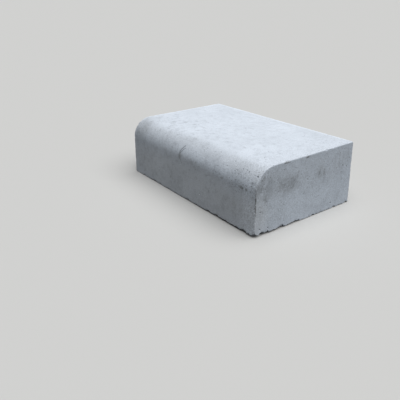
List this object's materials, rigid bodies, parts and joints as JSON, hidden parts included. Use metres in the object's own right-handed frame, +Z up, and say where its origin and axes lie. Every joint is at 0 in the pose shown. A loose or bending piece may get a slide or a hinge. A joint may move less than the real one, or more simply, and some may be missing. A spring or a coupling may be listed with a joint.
{
  "type": "concrete kerb stone",
  "caption": "Cast concrete kerb stone: a solid block with a wide bullnosed road edge, drafted moulded sides, blunt arrises and a flat struck base.",
  "frame": {"origin": "centre of the flat struck base that the stone lies on", "axes": "+X along the kerb line, +Y from the bullnosed road edge to the back, +Z up out of the base to the walking face"},
  "size_m": [0.5, 0.3, 0.15],
  "materials": {
    "cast_concrete": "matt, smooth from the mould on five sides and rough as struck on the base"
  },
  "bodies": {
    "root": {"kerb_stone": "cast_concrete"}
  },
  "joints": []
}
